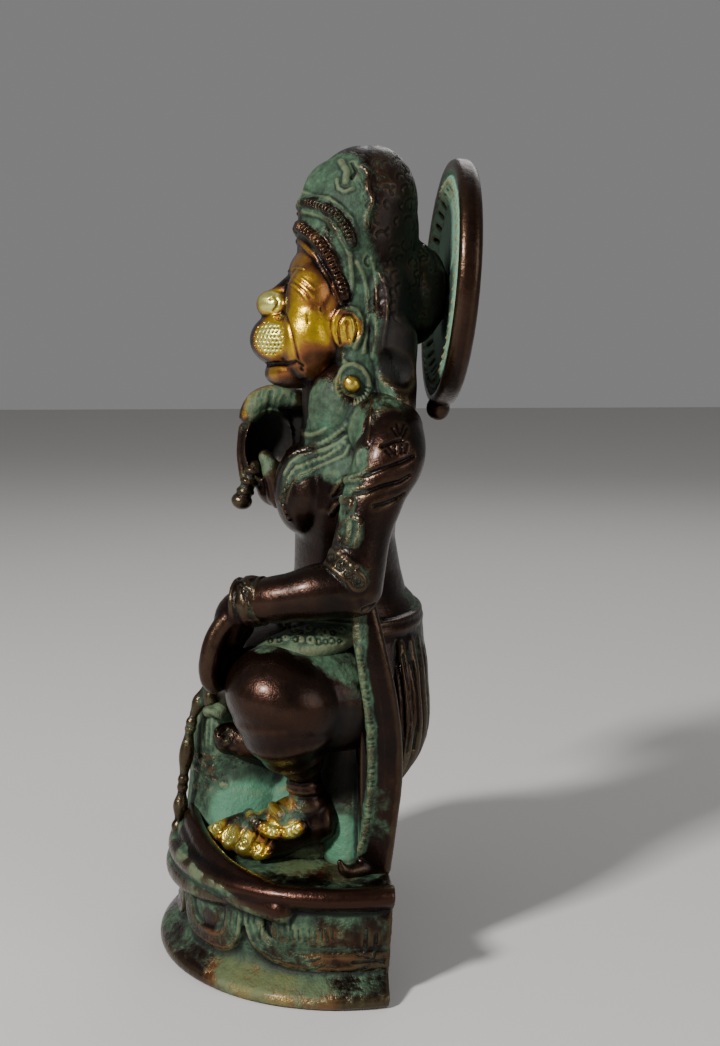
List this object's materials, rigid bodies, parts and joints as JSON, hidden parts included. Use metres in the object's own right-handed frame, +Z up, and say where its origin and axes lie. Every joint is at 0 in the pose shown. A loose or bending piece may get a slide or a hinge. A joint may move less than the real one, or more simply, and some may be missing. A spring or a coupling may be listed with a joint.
{
  "type": "hindu deity figure",
  "caption": "Small cast bronze monkey deity with a round halo, seated with one knee raised on a D-shaped lotus plinth.",
  "frame": {"origin": "middle of the plinth's underside, halfway between its front and its flat back", "axes": "+Z up, the figure faces -Y, its left side is +X"},
  "size_m": [0.0908, 0.0776, 0.1948],
  "materials": {
    "bronze": "cast bronze with a dark reddish-brown patina, verdigris in the recesses and rubbed golden high spots"
  },
  "bodies": {
    "root": {"figure_on_plinth": "bronze"}
  },
  "joints": []
}
